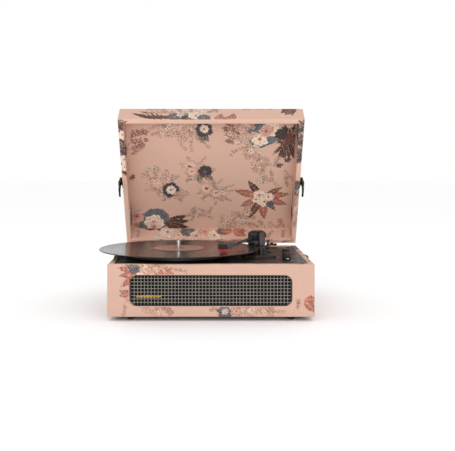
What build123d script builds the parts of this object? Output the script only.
from build123d import *
import os
from math import atan2, cos, hypot, radians, sin

os.makedirs("parts", exist_ok=True)

# Driving dimensions in millimetres. The case frame has X to the right from the
# middle, Y back from the front face and Z up from the underside.
CASE_W, CASE_D, CASE_H = 358.0, 302.0, 91.0
WALL, FLOOR_T = 10.0, 6.0
DECK_DROP, DECK_T = 2.0, 3.0
DECK_Z = CASE_H - DECK_DROP
FOOT_R, FOOT_H = 7.0, 7.5
FOOT_X, FOOT_Y = 140.0, 22.0

LID_T, LID_PANEL_T = 43.0, 5.0
LID_OPEN = 57.0
HINGE_X, HINGE_W = 128.0, 22.0
HINGE_OUT, HINGE_UP = 3.0, 1.1
KNUCKLE_R, HINGE_PIN_R, LEAF_T = 2.6, 1.2, 1.2

RECORD_R, RECORD_T = 150.8, 2.0
SPIN_X, SPIN_Y = -62.0, 142.0
PLATTER_R, PLATTER_Z, PLATTER_TOP = 100.0, DECK_Z + 2, DECK_Z + 11.2
MAT_T = 1.2
RECORD_Z = PLATTER_TOP + MAT_T
SPINDLE_R, SPINDLE_SHOULDER, SPINDLE_TOP = 3.6, RECORD_Z + RECORD_T + 0.2, RECORD_Z + RECORD_T + 15

ARM_X, ARM_Y = 92.0, 232.0
ARM_Z, ARM_DROP = 116.0, 4.0
STYLUS_X, STYLUS_Y = 23.5, 73.0
REST_X, REST_Y = 94.5, 115.0

LATCH_Y, LATCH_OUT = 150.0, 8.0
GRILLE_W, GRILLE_H, GRILLE_Z, GRILLE_R = 280.0, 52.4, 45.15, 12.0
RUNNING = 0.05

# The row's origin is under the middle of the whole object's box, on the floor.
BACK_REACH = (
    CASE_D + HINGE_OUT
    + (HINGE_UP + LID_T) * sin(radians(LID_OPEN)) - HINGE_OUT * cos(radians(LID_OPEN))
)
FRONT_REACH = SPIN_Y - RECORD_R
CASE_X = -(SPIN_X - RECORD_R + CASE_W / 2 + LATCH_OUT) / 2
FRONT_Y = -(FRONT_REACH + BACK_REACH) / 2

CASE = Plane((CASE_X, FRONT_Y, FOOT_H))
HINGE = CASE.from_local_coords(Vector(0, CASE_D + HINGE_OUT, CASE_H + HINGE_UP))
LID = Plane(
    HINGE,
    x_dir=(1, 0, 0),
    z_dir=(0, sin(radians(LID_OPEN)), cos(radians(LID_OPEN))),
)
LID_BACK = -HINGE_OUT
LID_FRONT = LID_BACK - CASE_D
ARM_ANGLE = atan2(ARM_X - STYLUS_X, ARM_Y - STYLUS_Y)
ARM_REACH = hypot(ARM_X - STYLUS_X, ARM_Y - STYLUS_Y)
ARM = Plane(
    CASE.from_local_coords(Vector(ARM_X, ARM_Y, 0)),
    x_dir=(-sin(ARM_ANGLE), -cos(ARM_ANGLE), 0),
    z_dir=(0, 0, 1),
)
SIDES = (-1, 1)
BOTTOM = (Align.CENTER, Align.CENTER, Align.MIN)
TOP = (Align.CENTER, Align.CENTER, Align.MAX)


def on_case(x, y, z, x_dir=(1, 0, 0), z_dir=(0, 0, 1)):
    """A plane at a point of the case frame."""
    return Plane(CASE.from_local_coords(Vector(x, y, z)), x_dir=x_dir, z_dir=z_dir)


def on_lid(x, y, z, z_dir=(0, 0, 1), x_dir=(1, 0, 0)):
    """A plane at a point of the lid frame, with directions in the lid frame."""
    turn = Plane((0, 0, 0), x_dir=LID.x_dir, z_dir=LID.z_dir)
    return Plane(
        LID.from_local_coords(Vector(x, y, z)),
        x_dir=turn.from_local_coords(Vector(*x_dir)),
        z_dir=turn.from_local_coords(Vector(*z_dir)),
    )


def block(x0, x1, y0, y1, z0, z1, place=on_case, mode=Mode.ADD):
    """A box between two corners of the case frame, or of the frame that place names."""
    with Locations(place((x0 + x1) / 2, (y0 + y1) / 2, (z0 + z1) / 2)):
        Box(x1 - x0, y1 - y0, z1 - z0, mode=mode)


def post(x, y, z0, z1, radius, mode=Mode.ADD):
    """An upright cylinder in the case frame."""
    with Locations(on_case(x, y, z0)):
        Cylinder(radius, z1 - z0, align=BOTTOM, mode=mode)


def bore(plane, radius, depth):
    """A round hole going down from the plane."""
    with Locations(plane):
        Cylinder(radius, depth, align=TOP, mode=Mode.SUBTRACT)


def screw(plane, head_r, head_h, shank_r, length):
    """A pan-head screw whose head stands on the plane and whose shank goes below it."""
    with Locations(plane):
        Cylinder(head_r, head_h, align=BOTTOM)
        Cylinder(shank_r, length, align=TOP)


def save(builder, label):
    builder.part.label = label
    export_step(builder.part, "parts/" + label + ".step")


SECTION = on_case(SPIN_X, SPIN_Y, 0, z_dir=(0, -1, 0))
SPIN_AXIS = Axis(CASE.from_local_coords(Vector(SPIN_X, SPIN_Y, 0)), (0, 0, 1))

# ---------------------------------------------------------------- cabinet
SCREW_R, SCREW_HEAD_R, SCREW_HEAD, SCREW_L = 1.2, 2.3, 0.9, 8.0
LEAF_H, LEAF_GAP = 18.0, 3.4
HINGE_SCREW_DX, HINGE_SCREW_DZ = 6.0, 12.0
JACK_X, JACK_Z, JACK_W, JACK_H, JACK_T = 105.0, 40.0, 92.0, 30.0, 1.6
HANDLE_X, HANDLE_Z = 46.0, 66.0
CATCH_Z = 84.0
SPEAKER_X, SPEAKER_Z, SPEAKER_SCREW = 72.0, 45.0, 31.0
SPEAKER_HOLE_R = 33.0


def hinge_screw_planes():
    """The screws of the hinge leaves on the cabinet's back face."""
    for side in SIDES:
        for end in SIDES:
            yield on_case(
                side * HINGE_X + end * HINGE_SCREW_DX, CASE_D + LEAF_T,
                CASE_H - HINGE_SCREW_DZ, z_dir=(0, 1, 0),
            )


def catch_screw_planes():
    """The screws of the latch catches on the cabinet's sides."""
    for side in SIDES:
        for end in SIDES:
            yield on_case(
                side * (CASE_W / 2 + 1.5), LATCH_Y + end * 5, CATCH_Z - 8,
                x_dir=(0, 1, 0), z_dir=(side, 0, 0),
            )


def foot_planes(z):
    """The four feet, seen from below at a height of the case."""
    for side in SIDES:
        for y in (FOOT_Y, CASE_D - FOOT_Y):
            yield on_case(side * FOOT_X, y, z, z_dir=(0, 0, -1))


def speaker_screw_planes(y):
    """The speakers' screws, driven forward into the front panel."""
    for side in SIDES:
        for dx in SIDES:
            for dz in SIDES:
                yield on_case(
                    side * SPEAKER_X + dx * SPEAKER_SCREW, y,
                    SPEAKER_Z + dz * SPEAKER_SCREW, z_dir=(0, 1, 0),
                )


with BuildPart() as front_panel:
    block(-CASE_W / 2, CASE_W / 2, 0, WALL, 0, CASE_H)
    with BuildSketch(on_case(0, 0, GRILLE_Z, z_dir=(0, -1, 0))):
        RectangleRounded(GRILLE_W, GRILLE_H, GRILLE_R)
    extrude(amount=-WALL, mode=Mode.SUBTRACT)
    for plane in speaker_screw_planes(WALL):
        bore(plane, SCREW_R, SCREW_L - 2.5)
save(front_panel, "front_panel")

with BuildPart() as back_panel:
    block(-CASE_W / 2, CASE_W / 2, CASE_D - WALL, CASE_D, 0, CASE_H)
    block(
        JACK_X - JACK_W / 2 + 6, JACK_X + JACK_W / 2 - 6, CASE_D - WALL, CASE_D,
        JACK_Z - JACK_H / 2 + 4, JACK_Z + JACK_H / 2 - 4, mode=Mode.SUBTRACT,
    )
    for plane in hinge_screw_planes():
        bore(plane, SCREW_R, SCREW_L)
save(back_panel, "back_panel")

with BuildPart() as side_panels:
    for side in SIDES:
        outer, inner = side * CASE_W / 2, side * (CASE_W / 2 - WALL)
        block(min(outer, inner), max(outer, inner), WALL, CASE_D - WALL, 0, CASE_H)
    for plane in catch_screw_planes():
        bore(plane, SCREW_R, SCREW_L)
save(side_panels, "side_panels")

INNER_X = CASE_W / 2 - WALL
with BuildPart() as bottom_panel:
    block(-INNER_X, INNER_X, WALL, CASE_D - WALL, 0, FLOOR_T)
    for plane in foot_planes(-FOOT_H / 2):
        bore(plane, SCREW_R, SCREW_L)
save(bottom_panel, "bottom_panel")

BLOCK_X, BLOCK_Y = 20.0, 28.0
DECK_SCREW_X, DECK_SCREW_IN = 160.0, 26.0
DECK_SCREW_R, DECK_SCREW_HEAD, DECK_SCREW_L = 1.5, 3.4, 14.0


def deck_screw_planes():
    """The deck's corner screws, heads on the deck."""
    for side in SIDES:
        for y in (DECK_SCREW_IN, CASE_D - DECK_SCREW_IN):
            yield on_case(side * DECK_SCREW_X, y, DECK_Z)


with BuildPart() as corner_blocks:
    for side in SIDES:
        outer, inner = side * INNER_X, side * (INNER_X - BLOCK_X)
        for y in (WALL, CASE_D - WALL - BLOCK_Y):
            block(min(outer, inner), max(outer, inner), y, y + BLOCK_Y, FLOOR_T, DECK_Z - DECK_T)
    for plane in deck_screw_planes():
        bore(plane, DECK_SCREW_R, DECK_SCREW_L)
save(corner_blocks, "corner_blocks")

with BuildPart() as rubber_feet:
    for plane in foot_planes(0):
        with BuildSketch(plane):
            Circle(FOOT_R)
        extrude(amount=FOOT_H)
    fillet(faces().filter_by(Axis.Z).group_by(Axis.Z)[0].edges(), 2.5)
    for plane in foot_planes(-FOOT_H):
        bore(plane, SCREW_HEAD_R + 0.3, FOOT_H / 2)
        bore(plane, SCREW_R, FOOT_H)
save(rubber_feet, "rubber_feet")

with BuildPart() as case_screws:
    for plane in (*hinge_screw_planes(), *catch_screw_planes(), *foot_planes(-FOOT_H / 2)):
        screw(plane, SCREW_HEAD_R, SCREW_HEAD, SCREW_R, SCREW_L)
save(case_screws, "case_screws")

# ---------------------------------------------------------------- front grille and speakers
GRILLE_Y, GRILLE_T, CELL, BAR = 3.6, 1.4, 5.9, 0.9
GRILLE_COLUMNS, GRILLE_ROWS = 47, 9
BADGE_X, BADGE_Z, BADGE_W, BADGE_H, BADGE_T = -107.5, 35.0, 46.0, 6.0, 1.2
CLOTH_T = 0.8

with BuildPart() as speaker_grille:
    with BuildSketch(on_case(0, GRILLE_Y, GRILLE_Z, z_dir=(0, -1, 0))):
        RectangleRounded(GRILLE_W, GRILLE_H, GRILLE_R)
    extrude(amount=-GRILLE_T)
    with BuildSketch(on_case(0, GRILLE_Y, GRILLE_Z, z_dir=(0, -1, 0))):
        with GridLocations(CELL, CELL, GRILLE_COLUMNS, GRILLE_ROWS):
            Rectangle(CELL - BAR, CELL - BAR)
        RectangleRounded(
            GRILLE_W - 2 * BAR, GRILLE_H - 2 * BAR, GRILLE_R - BAR, mode=Mode.INTERSECT
        )
    extrude(amount=-GRILLE_T, mode=Mode.SUBTRACT)
save(speaker_grille, "speaker_grille")

with BuildPart() as grille_cloth:
    with BuildSketch(on_case(0, GRILLE_Y + GRILLE_T, GRILLE_Z, z_dir=(0, -1, 0))):
        RectangleRounded(GRILLE_W, GRILLE_H, GRILLE_R)
    extrude(amount=-CLOTH_T)
save(grille_cloth, "grille_cloth")

with BuildPart() as badge:
    with BuildSketch(on_case(BADGE_X, GRILLE_Y, BADGE_Z, z_dir=(0, -1, 0))):
        SlotOverall(BADGE_W, BADGE_H)
    extrude(amount=BADGE_T)
    fillet(faces().sort_by(Axis.Y)[0].edges(), 0.5)
save(badge, "badge")

SPEAKER_FRAME, SPEAKER_FLANGE = 76.0, 2.5
with BuildPart() as speaker_frames:
    for side in SIDES:
        with BuildSketch(on_case(side * SPEAKER_X, WALL, SPEAKER_Z, z_dir=(0, 1, 0))):
            RectangleRounded(SPEAKER_FRAME, SPEAKER_FRAME, 8)
            Circle(SPEAKER_HOLE_R, mode=Mode.SUBTRACT)
        extrude(amount=SPEAKER_FLANGE)
        for radius_out, radius_in, mode in ((36, 22, Mode.ADD), (34.5, 20.5, Mode.SUBTRACT)):
            with BuildSketch(on_case(side * SPEAKER_X, WALL, SPEAKER_Z, z_dir=(0, 1, 0))):
                Circle(radius_out if mode is Mode.ADD else SPEAKER_HOLE_R)
            with BuildSketch(on_case(side * SPEAKER_X, WALL + 22, SPEAKER_Z, z_dir=(0, 1, 0))):
                Circle(radius_in)
            loft(mode=mode)
    for plane in speaker_screw_planes(WALL + SPEAKER_FLANGE):
        bore(plane, SCREW_R, SPEAKER_FLANGE)
save(speaker_frames, "speaker_frames")

with BuildPart() as speaker_cones:
    for side in SIDES:
        axis = Axis(CASE.from_local_coords(Vector(side * SPEAKER_X, 0, SPEAKER_Z)), (0, 1, 0))
        with BuildSketch(on_case(side * SPEAKER_X, 0, SPEAKER_Z)):
            with BuildLine():
                Polyline(
                    (0, WALL + 12), (8, WALL + 14), (28, WALL + 1), (31.5, WALL + 1),
                    (31.5, WALL + 1.8), (28.4, WALL + 1.8), (8, WALL + 15), (0, WALL + 13),
                    close=True,
                )
            make_face()
        revolve(axis=axis)
save(speaker_cones, "speaker_cones")

with BuildPart() as speaker_magnets:
    for side in SIDES:
        with BuildSketch(on_case(side * SPEAKER_X, WALL + 22, SPEAKER_Z, z_dir=(0, 1, 0))):
            Circle(24)
        extrude(amount=13)
        fillet(edges().filter_by(GeomType.CIRCLE).group_by(Axis.Y)[-1], 1.5)
save(speaker_magnets, "speaker_magnets")

with BuildPart() as speaker_screws:
    for plane in speaker_screw_planes(WALL + SPEAKER_FLANGE):
        screw(plane, SCREW_HEAD_R, SCREW_HEAD, SCREW_R, SCREW_L)
save(speaker_screws, "speaker_screws")

# ---------------------------------------------------------------- deck
PULLEY_REACH, PULLEY_AT = 84.0, radians(135)
PULLEY_X = SPIN_X + PULLEY_REACH * cos(PULLEY_AT)
PULLEY_Y = SPIN_Y + PULLEY_REACH * sin(PULLEY_AT)
DRIVE_R, PULLEY_R, SHAFT_R = 62.0, 5.0, 1.0
BUSH_R = 6.0
VOLUME_X, VOLUME_Y = 138.0, 75.0
PITCH_X, PITCH_Y = 143.0, 136.0
POT_R = 3.0
LIGHT_X, LIGHT_Y, LIGHT_R = 131.0, 116.0, 1.8
PLINTH_X0, PLINTH_X1, PLINTH_Y0, PLINTH_Y1, PLINTH_H = 60.0, 121.0, 100.0, 268.0, 5.0
PLINTH_Z = DECK_Z + PLINTH_H
LIFT_REACH, LIFT_ANGLE = 28.0, radians(10)
LIFT_X = ARM_X - LIFT_REACH * sin(LIFT_ANGLE)
LIFT_Y = ARM_Y - LIFT_REACH * cos(LIFT_ANGLE)
LIFT_STEM_R = 2.0
SPEED_X, SPEED_Y, SPEED_TRAVEL, SPEED_STEM = 111.0, 150.0, 8.0, 3.0

with BuildPart() as deck_plate:
    block(-INNER_X, INNER_X, WALL, CASE_D - WALL, DECK_Z - DECK_T, DECK_Z)
    for plane in deck_screw_planes():
        bore(plane, DECK_SCREW_R, DECK_T)
    for x, y, radius in (
        (SPIN_X, SPIN_Y, BUSH_R),
        (PULLEY_X, PULLEY_Y, SHAFT_R + 2),
        (VOLUME_X, VOLUME_Y, POT_R + RUNNING),
        (PITCH_X, PITCH_Y, POT_R + RUNNING),
        (LIGHT_X, LIGHT_Y, LIGHT_R),
        (LIFT_X, LIFT_Y, LIFT_STEM_R + 0.5),
    ):
        bore(on_case(x, y, DECK_Z), radius, DECK_T)
save(deck_plate, "deck_plate")

with BuildPart() as deck_screws:
    for plane in deck_screw_planes():
        screw(plane, DECK_SCREW_HEAD, 1.6, DECK_SCREW_R, DECK_SCREW_L)
    fillet(edges().filter_by(GeomType.CIRCLE).group_by(Axis.Z)[-1], 0.8)
save(deck_screws, "deck_screws")

MOTOR_R, MOTOR_H = 17.5, 24.0
MOTOR_TOP = DECK_Z - DECK_T
with BuildPart() as motor:
    post(PULLEY_X, PULLEY_Y, MOTOR_TOP - MOTOR_H, MOTOR_TOP, MOTOR_R)
    fillet(edges().group_by(Axis.Z)[0], 2)
    bore(on_case(PULLEY_X, PULLEY_Y, MOTOR_TOP), SHAFT_R + RUNNING, MOTOR_H - 4)
save(motor, "motor")

PULLEY_Z0, PULLEY_Z1 = DECK_Z + 1.5, DECK_Z + 7.5
with BuildPart() as motor_pulley:
    post(PULLEY_X, PULLEY_Y, MOTOR_TOP - MOTOR_H + 6, PULLEY_Z0, SHAFT_R)
    post(PULLEY_X, PULLEY_Y, PULLEY_Z0, PULLEY_Z1, PULLEY_R)
    post(PULLEY_X, PULLEY_Y, PULLEY_Z0, PULLEY_Z0 + 0.8, PULLEY_R + 1.2)
save(motor_pulley, "motor_pulley")

BELT_GAP, BELT_T = 0.3, 0.8
with BuildPart() as drive_belt:
    for gap, mode in ((BELT_GAP + BELT_T, Mode.ADD), (BELT_GAP, Mode.SUBTRACT)):
        with BuildSketch(on_case(0, 0, PULLEY_Z0 + 1.2)):
            with Locations((SPIN_X, SPIN_Y)):
                Circle(DRIVE_R + gap)
            with Locations((PULLEY_X, PULLEY_Y)):
                Circle(PULLEY_R + gap)
            make_hull()
        extrude(amount=3.6, mode=mode)
save(drive_belt, "drive_belt")

BUSH_FOOT, FLANGE_R, FLANGE_T = 60.0, 11.0, 2.0
with BuildPart() as bearing_bush:
    post(SPIN_X, SPIN_Y, BUSH_FOOT, PLATTER_Z - 0.3, BUSH_R)
    post(SPIN_X, SPIN_Y, DECK_Z - DECK_T - FLANGE_T, DECK_Z - DECK_T, FLANGE_R)
    bore(on_case(SPIN_X, SPIN_Y, PLATTER_Z), 3 + RUNNING, PLATTER_Z - BUSH_FOOT - 2)
save(bearing_bush, "bearing_bush")

BOARD_Z = DECK_Z - DECK_T - 16
with BuildPart() as circuit_board:
    block(110, 160, 50, 162, BOARD_Z - 1.6, BOARD_Z)
    for y in (60, 100):
        block(114, 124, y, y + 22, BOARD_Z, BOARD_Z + 6)
save(circuit_board, "circuit_board")

with BuildPart() as control_pots:
    for x, y in ((VOLUME_X, VOLUME_Y), (PITCH_X, PITCH_Y)):
        block(x - 8, x + 8, y - 8, y + 8, BOARD_Z, DECK_Z - DECK_T - 1)
        bore(on_case(x, y, DECK_Z - DECK_T - 1), POT_R + RUNNING, 9)
save(control_pots, "control_pots")

with BuildPart() as indicator_light:
    post(LIGHT_X, LIGHT_Y, DECK_Z - DECK_T, DECK_Z + 0.8, LIGHT_R)
    fillet(edges().group_by(Axis.Z)[-1], 0.7)
save(indicator_light, "indicator_light")

KNOB_R, KNOB_H = 7.8, 13.5
for name, x, y in (("volume_knob", VOLUME_X, VOLUME_Y), ("pitch_knob", PITCH_X, PITCH_Y)):
    with BuildPart() as knob:
        post(x, y, DECK_Z + 0.8, DECK_Z + KNOB_H, KNOB_R)
        chamfer(edges().group_by(Axis.Z)[-1], 1.2)
        with BuildSketch(on_case(x, y, DECK_Z + 2)):
            with PolarLocations(KNOB_R + 0.5, 24):
                Circle(0.8)
        extrude(amount=KNOB_H, mode=Mode.SUBTRACT)
        block(x - 0.5, x + 0.5, y - KNOB_R, y - 1, DECK_Z + KNOB_H - 0.6, DECK_Z + KNOB_H + 1,
              mode=Mode.SUBTRACT)
        post(x, y, DECK_Z - DECK_T - 8, DECK_Z + 1, POT_R)
    save(knob, name)

# ---------------------------------------------------------------- platter and record
with BuildPart() as platter:
    with BuildSketch(SECTION):
        Polygon(
            (3, PLATTER_Z), (8, PLATTER_Z), (8, PLATTER_TOP - 3), (DRIVE_R - 2.5, PLATTER_TOP - 3),
            (DRIVE_R - 2.5, PLATTER_Z), (DRIVE_R, PLATTER_Z), (DRIVE_R, PLATTER_TOP - 3),
            (PLATTER_R - 3, PLATTER_TOP - 3), (PLATTER_R - 3, PLATTER_Z), (PLATTER_R, PLATTER_Z),
            (PLATTER_R, PLATTER_TOP - 1), (PLATTER_R - 1, PLATTER_TOP), (3, PLATTER_TOP),
            align=None,
        )
    revolve(axis=SPIN_AXIS)
save(platter, "platter")

with BuildPart() as spindle:
    post(SPIN_X, SPIN_Y, BUSH_FOOT + 3, PLATTER_TOP, 3)
    post(SPIN_X, SPIN_Y, PLATTER_TOP, SPINDLE_SHOULDER, SPINDLE_R - 0.4)
    post(SPIN_X, SPIN_Y, SPINDLE_SHOULDER, SPINDLE_TOP, SPINDLE_R)
    fillet(edges().group_by(Axis.Z)[-1], 2.4)
save(spindle, "spindle")

with BuildPart() as slipmat:
    with BuildSketch(SECTION):
        Polygon(
            (SPINDLE_R, PLATTER_TOP), (PLATTER_R - 2, PLATTER_TOP),
            (PLATTER_R - 2, RECORD_Z), (SPINDLE_R, RECORD_Z),
            align=None,
        )
    revolve(axis=SPIN_AXIS)
save(slipmat, "slipmat")

LABEL_R, LABEL_T, DEADWAX_R, GROOVE_R = 50.0, 0.15, 60.0, 146.0
RECORD_TOP = RECORD_Z + RECORD_T
HOLE_R = SPINDLE_R + 0.03
with BuildPart() as record:
    with BuildSketch(SECTION):
        Polygon(
            (HOLE_R, RECORD_Z), (RECORD_R - 0.6, RECORD_Z), (RECORD_R, RECORD_Z + 0.6),
            (RECORD_R, RECORD_TOP - 0.7), (RECORD_R - 0.6, RECORD_TOP - 0.1),
            (GROOVE_R + 1.5, RECORD_TOP - 0.1), (GROOVE_R, RECORD_TOP - 0.3),
            (DEADWAX_R, RECORD_TOP - 0.3), (DEADWAX_R - 1, RECORD_TOP - 0.45),
            (LABEL_R + 4, RECORD_TOP - 0.45), (LABEL_R + 3, RECORD_TOP - LABEL_T),
            (HOLE_R, RECORD_TOP - LABEL_T),
            align=None,
        )
    revolve(axis=SPIN_AXIS)
save(record, "record")

with BuildPart() as record_label:
    with BuildSketch(SECTION):
        Polygon(
            (HOLE_R, RECORD_TOP - LABEL_T), (LABEL_R, RECORD_TOP - LABEL_T),
            (LABEL_R, RECORD_TOP), (HOLE_R, RECORD_TOP),
            align=None,
        )
    revolve(axis=SPIN_AXIS)
save(record_label, "record_label")

# ---------------------------------------------------------------- tonearm
PEDESTAL_R, PEDESTAL_TOP = 14.0, PLINTH_Z + 4.5
YOKE_W, YOKE_L, CHEEK_T, YOKE_TOP = 26.0, 32.0, 5.0, 126.5
YOKE_Z = PEDESTAL_TOP + 0.4
YOKE_FLOOR = YOKE_Z + 3
PIVOT_R, POST_R = 1.5, 4.0
CUE_X, CUE_Y, CUE_Z, CUE_TOP = 113.0, 200.0, PLINTH_Z + 4, 112.0
TUBE_R, TUBE_END = 2.7, 128.0
CARTRIDGE_BACK, CARTRIDGE_W = 154.0, 13.0
TIP_Z = RECORD_TOP + 0.1


def on_arm(x, y, z, x_dir=(1, 0, 0), z_dir=(0, 0, 1)):
    """A plane at a point of the arm frame: X towards the head, Z the case's height."""
    return Plane(
        ARM.from_local_coords(Vector(x, y, z)),
        x_dir=ARM.x_dir * x_dir[0] + ARM.y_dir * x_dir[1] + ARM.z_dir * x_dir[2],
        z_dir=ARM.x_dir * z_dir[0] + ARM.y_dir * z_dir[1] + ARM.z_dir * z_dir[2],
    )


with BuildPart() as tonearm_base:
    with BuildSketch(on_case(0, 0, DECK_Z)):
        with BuildLine():
            Polyline(
                (PLINTH_X0, PLINTH_Y0 + 8), (PLINTH_X0 + 22, PLINTH_Y0), (PLINTH_X1, PLINTH_Y0),
                (PLINTH_X1, PLINTH_Y1), (PLINTH_X0, PLINTH_Y1), close=True,
            )
        make_face()
        fillet(vertices(), 5)
    extrude(amount=PLINTH_H)
    fillet(edges().group_by(Axis.Z)[-1], 1.2)
    post(ARM_X, ARM_Y, PLINTH_Z, PEDESTAL_TOP, PEDESTAL_R)
    bore(on_case(ARM_X, ARM_Y, PEDESTAL_TOP), POST_R + RUNNING, PEDESTAL_TOP - DECK_Z - 1)
    bore(on_case(LIFT_X, LIFT_Y, PLINTH_Z), LIFT_STEM_R + RUNNING, PLINTH_H)
    bore(on_case(REST_X, REST_Y, PLINTH_Z), 2, PLINTH_H - 1)
    block(CUE_X - 7, CUE_X - 3.2, CUE_Y - 4, CUE_Y + 4, PLINTH_Z, CUE_Z + 4)
    bore(on_case(CUE_X - 3.2, CUE_Y, CUE_Z, x_dir=(0, 1, 0), z_dir=(1, 0, 0)), 1.2 + RUNNING, 3.8)
    block(
        SPEED_X - 1.5, SPEED_X + 1.5, SPEED_Y - SPEED_TRAVEL - 2.5, SPEED_Y + SPEED_TRAVEL + 2.5,
        PLINTH_Z - 3.5, PLINTH_Z, mode=Mode.SUBTRACT,
    )
save(tonearm_base, "tonearm_base")

with BuildPart() as arm_rest:
    post(REST_X, REST_Y, PLINTH_Z - 4, PLINTH_Z, 2)
    post(REST_X, REST_Y, PLINTH_Z, 107.6, 6.8)
    with BuildSketch(on_case(REST_X, REST_Y, 107.6)):
        Circle(6.8)
        with Locations((-3, 0)):
            Rectangle(14, 14, mode=Mode.SUBTRACT)
    extrude(amount=8)
save(arm_rest, "arm_rest")

with BuildPart() as tonearm_yoke:
    with Locations(on_arm(0, 0, PLINTH_Z)):
        Cylinder(POST_R, YOKE_Z - PLINTH_Z, align=BOTTOM)
    with Locations(on_arm(0, 0, YOKE_Z)):
        Box(YOKE_L, YOKE_W, YOKE_FLOOR - YOKE_Z, align=BOTTOM)
    for side in SIDES:
        block(
            -YOKE_L / 2, YOKE_L / 2,
            min(side * YOKE_W / 2, side * (YOKE_W / 2 - CHEEK_T)),
            max(side * YOKE_W / 2, side * (YOKE_W / 2 - CHEEK_T)),
            YOKE_FLOOR, YOKE_TOP, place=on_arm,
        )
    fillet(edges().filter_by(Axis((0, 0, 0), ARM.y_dir)).group_by(Axis.Z)[-1], 6)
    cheeks = faces().filter_by(Axis((0, 0, 0), ARM.y_dir)).group_by(Axis((0, 0, 0), ARM.y_dir))
    fillet(cheeks[0].edges() + cheeks[-1].edges(), 1.2)
    bore(on_arm(0, YOKE_W / 2, ARM_Z, z_dir=(0, 1, 0)), PIVOT_R + RUNNING, YOKE_W)
save(tonearm_yoke, "tonearm_yoke")

CARRIER_W = YOKE_W - 2 * CHEEK_T - 0.8
CARRIER_BACK, CARRIER_FRONT = -17.5, 21.0
with BuildPart() as arm_carrier:
    block(CARRIER_BACK, CARRIER_FRONT, -CARRIER_W / 2, CARRIER_W / 2, YOKE_FLOOR + 3,
          YOKE_TOP + 2, place=on_arm)
    fillet(edges().filter_by(Axis((0, 0, 0), ARM.y_dir)), 7)
    bore(on_arm(0, YOKE_W / 2, ARM_Z, z_dir=(0, 1, 0)), PIVOT_R, YOKE_W)
save(arm_carrier, "arm_carrier")

with BuildPart() as pivot_pin:
    with Locations(on_arm(0, YOKE_W / 2 - 0.5, ARM_Z, z_dir=(0, 1, 0))):
        Cylinder(PIVOT_R, YOKE_W - 1, align=TOP)
save(pivot_pin, "pivot_pin")

# The tube falls evenly from the carrier's front to the head shell.
FALL = atan2(ARM_DROP, TUBE_END - CARRIER_FRONT)
TUBE_L = hypot(ARM_DROP, TUBE_END - CARRIER_FRONT)
TUBE_PLANE = on_arm(
    CARRIER_FRONT, 0, ARM_Z, x_dir=(0, 1, 0), z_dir=(cos(FALL), 0, -sin(FALL))
)
with BuildPart() as arm_tube:
    with Locations(TUBE_PLANE):
        Cylinder(TUBE_R, TUBE_L, align=BOTTOM)
        Cylinder(TUBE_R - 0.8, TUBE_L, align=BOTTOM, mode=Mode.SUBTRACT)
    split(bisect_by=on_arm(CARRIER_FRONT, 0, ARM_Z, x_dir=(0, 1, 0), z_dir=(1, 0, 0)), keep=Keep.TOP)
save(arm_tube, "arm_tube")

WEIGHT_R, WEIGHT_L = 8.5, 20.0
with BuildPart() as counterweight:
    with BuildSketch(on_arm(CARRIER_BACK, 0, ARM_Z, x_dir=(0, 1, 0), z_dir=(-1, 0, 0))):
        Circle(WEIGHT_R)
    extrude(amount=WEIGHT_L)
    fillet(edges().group_by(Axis((0, 0, 0), ARM.x_dir))[0], 2)
save(counterweight, "counterweight")

HEAD_Z, HEAD_W, HEAD_END = ARM_Z - ARM_DROP, 18.0, 184.0
HEAD_LOW, HEAD_TOP, HEAD_SKIN = HEAD_Z - 2.6, HEAD_Z + 6.4, 1.5
NECK_W, NECK_L, SHOULDER_L = 8.4, 14.0, 22.0
with BuildPart() as headshell:
    with BuildSketch(on_arm(0, 0, HEAD_TOP)):
        with BuildLine():
            Polyline(
                (TUBE_END + 0.4, -NECK_W / 2), (TUBE_END + NECK_L, -NECK_W / 2),
                (TUBE_END + SHOULDER_L, -HEAD_W / 2), (HEAD_END - 5, -HEAD_W / 2),
                (HEAD_END, -HEAD_W / 2 + 4), (HEAD_END, HEAD_W / 2 - 4), (HEAD_END - 5, HEAD_W / 2),
                (TUBE_END + SHOULDER_L, HEAD_W / 2), (TUBE_END + NECK_L, NECK_W / 2),
                (TUBE_END + 0.4, NECK_W / 2), close=True,
            )
        make_face()
    extrude(amount=HEAD_LOW - HEAD_TOP)
    with BuildSketch(on_arm(0, 0, 0, z_dir=(0, -1, 0))):
        with BuildLine():
            Polyline(
                (TUBE_END, HEAD_TOP - 2.8), (TUBE_END + SHOULDER_L, HEAD_TOP),
                (TUBE_END, HEAD_TOP + 1), close=True,
            )
        make_face()
    extrude(amount=HEAD_W, both=True, mode=Mode.SUBTRACT)
    block(CARTRIDGE_BACK - 0.5, HEAD_END - 2, HEAD_SKIN - HEAD_W / 2, HEAD_W / 2 - HEAD_SKIN,
          HEAD_LOW, HEAD_TOP - 2, place=on_arm, mode=Mode.SUBTRACT)
save(headshell, "headshell")

with BuildPart() as cartridge:
    block(CARTRIDGE_BACK, HEAD_END - 3, -CARTRIDGE_W / 2, CARTRIDGE_W / 2, HEAD_LOW,
          HEAD_TOP - 2, place=on_arm)
    fillet(edges().filter_by(Axis.Z), 1.2)
save(cartridge, "cartridge")

with BuildPart() as stylus:
    with BuildSketch(on_arm(0, 0, 0, z_dir=(0, -1, 0))):
        with BuildLine():
            Polyline(
                (ARM_REACH - 0.5, TIP_Z), (ARM_REACH + 0.5, TIP_Z),
                (ARM_REACH + 2.5, TIP_Z + 1.2), (HEAD_END - 1, TIP_Z + 2),
                (HEAD_END - 1, HEAD_LOW), (CARTRIDGE_BACK, HEAD_LOW),
                (CARTRIDGE_BACK, TIP_Z + 1.6), (ARM_REACH - 2.5, TIP_Z + 1.2), close=True,
            )
        make_face()
    extrude(amount=CARTRIDGE_W / 2, both=True)
save(stylus, "stylus")

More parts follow.
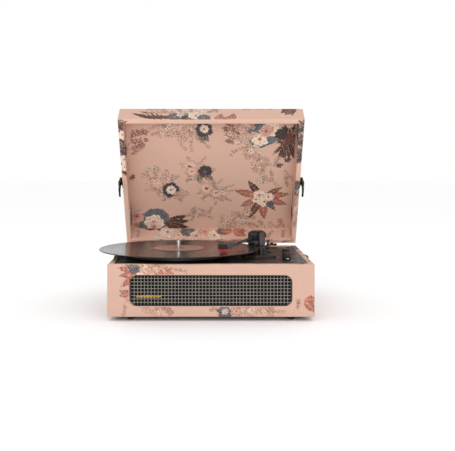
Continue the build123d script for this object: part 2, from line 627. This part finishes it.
LIFT_Z0, LIFT_Z1 = 106.4, 110.6
with BuildPart() as lift_platform:
    with BuildSketch(on_case(ARM_X, ARM_Y, LIFT_Z0)):
        Circle(LIFT_REACH + 2)
        Circle(LIFT_REACH - 2, mode=Mode.SUBTRACT)
        with BuildLine():
            Polyline((0, 0), (6, -60), (-60, -60), close=True)
        make_face(mode=Mode.INTERSECT)
    extrude(amount=LIFT_Z1 - LIFT_Z0)
    post(LIFT_X, LIFT_Y, DECK_Z - 6, LIFT_Z0, LIFT_STEM_R)
save(lift_platform, "lift_platform")

with BuildPart() as cue_lever:
    with Locations(on_case(CUE_X - 7, CUE_Y, CUE_Z, x_dir=(0, 1, 0), z_dir=(1, 0, 0))):
        Cylinder(1.2, 7, align=BOTTOM)
    with Locations(on_case(CUE_X - 3, CUE_Y, CUE_Z, x_dir=(0, 1, 0), z_dir=(1, 0, 0))):
        Cylinder(3, 5, align=BOTTOM)
    post(CUE_X, CUE_Y, CUE_Z, CUE_TOP - 3, 1.8)
    with Locations(on_case(CUE_X, CUE_Y, CUE_TOP - 2.2)):
        Sphere(2.2)
save(cue_lever, "cue_lever")

with BuildPart() as speed_lever:
    block(
        SPEED_X - 1.2, SPEED_X + 1.2, SPEED_Y - 2, SPEED_Y + 2, PLINTH_Z - SPEED_STEM, PLINTH_Z + 0.4
    )
    block(SPEED_X - 3.5, SPEED_X + 3.5, SPEED_Y - 3, SPEED_Y + 3, PLINTH_Z + 0.4, PLINTH_Z + 5)
    fillet(edges().group_by(Axis.Z)[-1], 1)
save(speed_lever, "speed_lever")

# ---------------------------------------------------------------- rear fittings and handle
JACK_R, JACK_L, JACK_GAP = 4.15, 9.0, 18.0
POWER_R = 5.5
JACK_PLATE_Y = CASE_D + JACK_T


def on_back(x, y, z):
    """A plane facing backwards."""
    return on_case(x, y, z, z_dir=(0, 1, 0))


with BuildPart() as jack_plate:
    with BuildSketch(on_back(JACK_X, CASE_D, JACK_Z)):
        RectangleRounded(JACK_W, JACK_H, 4)
    extrude(amount=JACK_T)
    for x in (JACK_X - 30, JACK_X - 30 + JACK_GAP):
        bore(on_back(x, JACK_PLATE_Y, JACK_Z), JACK_R - 1, JACK_T)
    bore(on_back(JACK_X + 25, JACK_PLATE_Y, JACK_Z), POWER_R, JACK_T)
save(jack_plate, "jack_plate")

with BuildPart() as line_out_jacks:
    for x in (JACK_X - 30, JACK_X - 30 + JACK_GAP):
        with Locations(on_back(x, JACK_PLATE_Y, JACK_Z)):
            Cylinder(JACK_R, JACK_L, align=BOTTOM)
            Cylinder(JACK_R - 1, 10, align=TOP)
        bore(on_back(x, JACK_PLATE_Y + JACK_L, JACK_Z), 1.6, JACK_L + 3)
save(line_out_jacks, "line_out_jacks")

with BuildPart() as power_socket:
    with Locations(on_back(JACK_X + 25, JACK_PLATE_Y + 1.2, JACK_Z)):
        Cylinder(POWER_R, 1.2 + JACK_T + 11, align=TOP)
    with Locations(on_back(JACK_X + 25, JACK_PLATE_Y + 1.2, JACK_Z)):
        Cylinder(2.85, 9.5, align=TOP, mode=Mode.SUBTRACT)
        Cylinder(1.0, 10, align=TOP)
save(power_socket, "power_socket")

HANDLE_ROD_R = 2.0
HANDLE_Y = CASE_D + 6
with BuildPart() as handle_brackets:
    for side in SIDES:
        block(
            side * HANDLE_X - 11, side * HANDLE_X + 11, CASE_D, CASE_D + 1.5,
            HANDLE_Z - 8, HANDLE_Z + 8,
        )
        block(
            side * HANDLE_X - 4, side * HANDLE_X + 4, CASE_D + 1.5, HANDLE_Y + 4,
            HANDLE_Z - 4, HANDLE_Z + 4,
        )
    fillet(edges().filter_by(Axis.X).group_by(Axis.Y)[-1], 2.5)
    for side in SIDES:
        bore(
            on_case(HANDLE_X * side + 5, HANDLE_Y, HANDLE_Z, x_dir=(0, 1, 0), z_dir=(1, 0, 0)),
            HANDLE_ROD_R + RUNNING, 10,
        )
save(handle_brackets, "handle_brackets")

HANDLE_DROP = 34.0
with BuildPart() as carrying_handle:
    for side in SIDES:
        outer = side * (HANDLE_X + 9)
        inner = side * (HANDLE_X - 9)
        with Locations(on_case(min(outer, inner), HANDLE_Y, HANDLE_Z, x_dir=(0, 1, 0),
                               z_dir=(1, 0, 0))):
            Cylinder(HANDLE_ROD_R, 18, align=BOTTOM)
        block(
            min(outer, side * (HANDLE_X + 4.6)), max(outer, side * (HANDLE_X + 4.6)),
            HANDLE_Y - 3, HANDLE_Y + 3, HANDLE_Z - HANDLE_DROP, HANDLE_Z + 3,
        )
    block(
        -HANDLE_X - 9, HANDLE_X + 9, HANDLE_Y - 4.5, HANDLE_Y + 4.5,
        HANDLE_Z - HANDLE_DROP - 12, HANDLE_Z - HANDLE_DROP,
    )
    fillet(edges().filter_by(Axis.X).group_by(SortBy.LENGTH)[-1], 3)
save(carrying_handle, "carrying_handle")

# ---------------------------------------------------------------- hinges
THIRD = HINGE_W / 3
with BuildPart() as hinge_base_leaves:
    for side in SIDES:
        with BuildSketch(on_back(side * HINGE_X, CASE_D, CASE_H - LEAF_GAP - LEAF_H / 2)):
            RectangleRounded(HINGE_W, LEAF_H, 2)
        extrude(amount=LEAF_T)
        for end in SIDES:
            x = side * HINGE_X + end * THIRD
            block(x - THIRD / 2 + 0.1, x + THIRD / 2 - 0.1, CASE_D, CASE_D + LEAF_T,
                  CASE_H - LEAF_GAP - 3, CASE_H + HINGE_UP)
            with Locations(on_case(x, CASE_D + HINGE_OUT, CASE_H + HINGE_UP, z_dir=(1, 0, 0),
                                   x_dir=(0, 1, 0))):
                Cylinder(KNUCKLE_R, THIRD - 0.2)
    for side in SIDES:
        bore(on_case(side * HINGE_X + HINGE_W, CASE_D + HINGE_OUT, CASE_H + HINGE_UP,
                     x_dir=(0, 1, 0), z_dir=(1, 0, 0)), HINGE_PIN_R + RUNNING, 2 * HINGE_W)
    for plane in hinge_screw_planes():
        bore(plane, SCREW_R, LEAF_T)
save(hinge_base_leaves, "hinge_base_leaves")

with BuildPart() as hinge_pins:
    for side in SIDES:
        with Locations(on_case(side * HINGE_X, CASE_D + HINGE_OUT, CASE_H + HINGE_UP,
                               x_dir=(0, 1, 0), z_dir=(1, 0, 0))):
            Cylinder(HINGE_PIN_R, HINGE_W + 1)
save(hinge_pins, "hinge_pins")


def lid_hinge_screw_planes():
    """The screws of the hinge leaves on the lid's back wall."""
    for side in SIDES:
        for end in SIDES:
            yield on_lid(
                side * HINGE_X + end * HINGE_SCREW_DX, LID_BACK + LEAF_T, HINGE_SCREW_DZ,
                z_dir=(0, 1, 0),
            )


def latch_screw_planes():
    """The screws of the latch plates on the lid's side walls."""
    for side in SIDES:
        for end in SIDES:
            yield on_lid(
                side * (CASE_W / 2 + 1.2), LATCH_IN_LID + end * 7, HINGE_UP + 29,
                x_dir=(0, 1, 0), z_dir=(side, 0, 0),
            )


LATCH_IN_LID = LATCH_Y - CASE_D - HINGE_OUT
with BuildPart() as hinge_lid_leaves:
    for side in SIDES:
        with BuildSketch(on_lid(side * HINGE_X, LID_BACK, LEAF_GAP + LEAF_H / 2, z_dir=(0, 1, 0))):
            RectangleRounded(HINGE_W, LEAF_H, 2)
        extrude(amount=LEAF_T)
        block(side * HINGE_X - THIRD / 2 + 0.2, side * HINGE_X + THIRD / 2 - 0.2, LID_BACK,
              LID_BACK + LEAF_T, 0, LEAF_GAP + 3, place=on_lid)
        with Locations(on_lid(side * HINGE_X, 0, 0, z_dir=(1, 0, 0), x_dir=(0, 1, 0))):
            Cylinder(KNUCKLE_R, THIRD - 0.4)
            Cylinder(HINGE_PIN_R, THIRD, mode=Mode.SUBTRACT)
    for plane in lid_hinge_screw_planes():
        bore(plane, SCREW_R, LEAF_T)
save(hinge_lid_leaves, "hinge_lid_leaves")

# ---------------------------------------------------------------- lid
LID_RIM = HINGE_UP
LID_TOP = LID_RIM + LID_T
with BuildPart() as lid_panel:
    block(-INNER_X, INNER_X, LID_FRONT + WALL, LID_BACK - WALL, LID_TOP - LID_PANEL_T, LID_TOP,
          place=on_lid)
save(lid_panel, "lid_panel")

with BuildPart() as lid_frame:
    for y in (LID_FRONT, LID_BACK - WALL):
        block(-CASE_W / 2, CASE_W / 2, y, y + WALL, LID_RIM, LID_TOP, place=on_lid)
    for side in SIDES:
        outer, inner = side * CASE_W / 2, side * INNER_X
        block(min(outer, inner), max(outer, inner), LID_FRONT + WALL, LID_BACK - WALL,
              LID_RIM, LID_TOP, place=on_lid)
    for plane in (*lid_hinge_screw_planes(), *latch_screw_planes()):
        bore(plane, SCREW_R, SCREW_L)
save(lid_frame, "lid_frame")

with BuildPart() as lid_screws:
    for plane in (*lid_hinge_screw_planes(), *latch_screw_planes()):
        screw(plane, SCREW_HEAD_R, SCREW_HEAD, SCREW_R, SCREW_L)
save(lid_screws, "lid_screws")

# ---------------------------------------------------------------- latches
PLATE_T, PLATE_W = 1.2, 24.0
LEVER_UP, LEVER_OUT, LEVER_W = HINGE_UP + 11, 4.0, 11.0
LOOP_UP, LOOP_OUT, LOOP_W, LOOP_WIRE = HINGE_UP + 2, 5.0, 20.0, 1.0
LOOP_END, LOOP_LEAN, LOOP_LEG = -27.0, 2.2, 1.6
EAR_T = 2.0


def on_latch(side, out, along, up, z_dir=(0, 1, 0), x_dir=(0, 0, 1)):
    """A plane at a latch: out from the side wall, along the lid, up from the hinge line."""
    return on_lid(
        side * (CASE_W / 2 + out), LATCH_IN_LID + along, up, z_dir=z_dir, x_dir=x_dir
    )


with BuildPart() as latch_plates:
    for side in SIDES:
        with BuildSketch(on_latch(side, 0, 0, HINGE_UP + 18.5, z_dir=(side, 0, 0),
                                  x_dir=(0, 0, 1))):
            RectangleRounded(31, PLATE_W, 3)
        extrude(amount=PLATE_T)
        for end in SIDES:
            along = end * (LEVER_W / 2 + 0.3 + EAR_T / 2)
            with Locations(on_latch(side, PLATE_T / 2 + LEVER_OUT / 2, along, LEVER_UP)):
                Box(5, LEVER_OUT - PLATE_T, EAR_T)
            with Locations(on_latch(side, LEVER_OUT, along, LEVER_UP)):
                Cylinder(2.5, EAR_T)
        with Locations(on_latch(side, LEVER_OUT, 0, LEVER_UP)):
            Cylinder(1 + RUNNING, 30, mode=Mode.SUBTRACT)
    for plane in latch_screw_planes():
        bore(plane, SCREW_R, PLATE_T)
save(latch_plates, "latch_plates")

for side, name in ((-1, "left"), (1, "right")):
    with BuildPart() as lever:
        with BuildSketch(on_latch(side, 0, 0, 0, z_dir=(0, -side, 0), x_dir=(side, 0, 0))):
            with BuildLine():
                Polyline(
                    (2.2, LEVER_UP + 1), (3, LEVER_UP + 2.2), (5, LEVER_UP + 2.2),
                    (LATCH_OUT - 1.6, LEVER_UP - 1.6), (LATCH_OUT, LEVER_UP - 9),
                    (LATCH_OUT, LEVER_UP - 14), (LATCH_OUT - 1.4, LEVER_UP - 20),
                    (LATCH_OUT - 2.8, LEVER_UP - 20), (LATCH_OUT - 1.8, LEVER_UP - 14),
                    (LATCH_OUT - 1.8, LEVER_UP - 12), (3.4, LOOP_UP - 2.2), (2.8, LOOP_UP + 2),
                    close=True,
                )
            make_face()
        extrude(amount=LEVER_W / 2, both=True)
        with Locations(on_latch(side, LEVER_OUT, 0, LEVER_UP)):
            Cylinder(1, LEVER_W + 2 * EAR_T)
        with Locations(on_latch(side, LOOP_OUT, 0, LOOP_UP)):
            Cylinder(LOOP_WIRE + RUNNING, LEVER_W + 4, mode=Mode.SUBTRACT)
    save(lever, "latch_lever_" + name)

    with BuildPart() as loop:
        reach = LOOP_UP - LOOP_END
        half = LOOP_W / 2 - LOOP_WIRE
        with Locations(on_latch(side, LOOP_OUT, 0, LOOP_UP)):
            Cylinder(LOOP_WIRE, LOOP_W)
        with Locations(on_latch(side, LOOP_OUT - LOOP_LEAN, 0, LOOP_END)):
            Cylinder(LOOP_WIRE + 0.9, LOOP_W)
        for end in SIDES:
            lean = atan2(LOOP_LEAN, reach)
            with Locations(on_latch(
                side, LOOP_OUT, end * half, LOOP_UP,
                z_dir=(-side * sin(lean), 0, -cos(lean)), x_dir=(0, 1, 0),
            )):
                Box(LOOP_LEG, LOOP_LEG, hypot(LOOP_LEAN, reach), align=BOTTOM)
    save(loop, "latch_loop_" + name)

with BuildPart() as latch_catches:
    for side in SIDES:
        with BuildSketch(on_case(side * CASE_W / 2, LATCH_Y, CATCH_Z - 3, x_dir=(0, 1, 0),
                                 z_dir=(side, 0, 0))):
            RectangleRounded(20, 18, 3)
        extrude(amount=1.5)
        with BuildSketch(on_case(side * CASE_W / 2, LATCH_Y, CATCH_Z, x_dir=(side, 0, 0),
                                 z_dir=(0, -side, 0))):
            with BuildLine():
                Polyline((1.5, 5), (6, 4), (7.7, 1), (7.7, -4), (6.2, -4), (5.6, 0.2),
                         (1.5, 0.6), close=True)
            make_face()
        extrude(amount=5.5, both=True)
    for plane in catch_screw_planes():
        bore(plane, SCREW_R, 1.5)
save(latch_catches, "latch_catches")
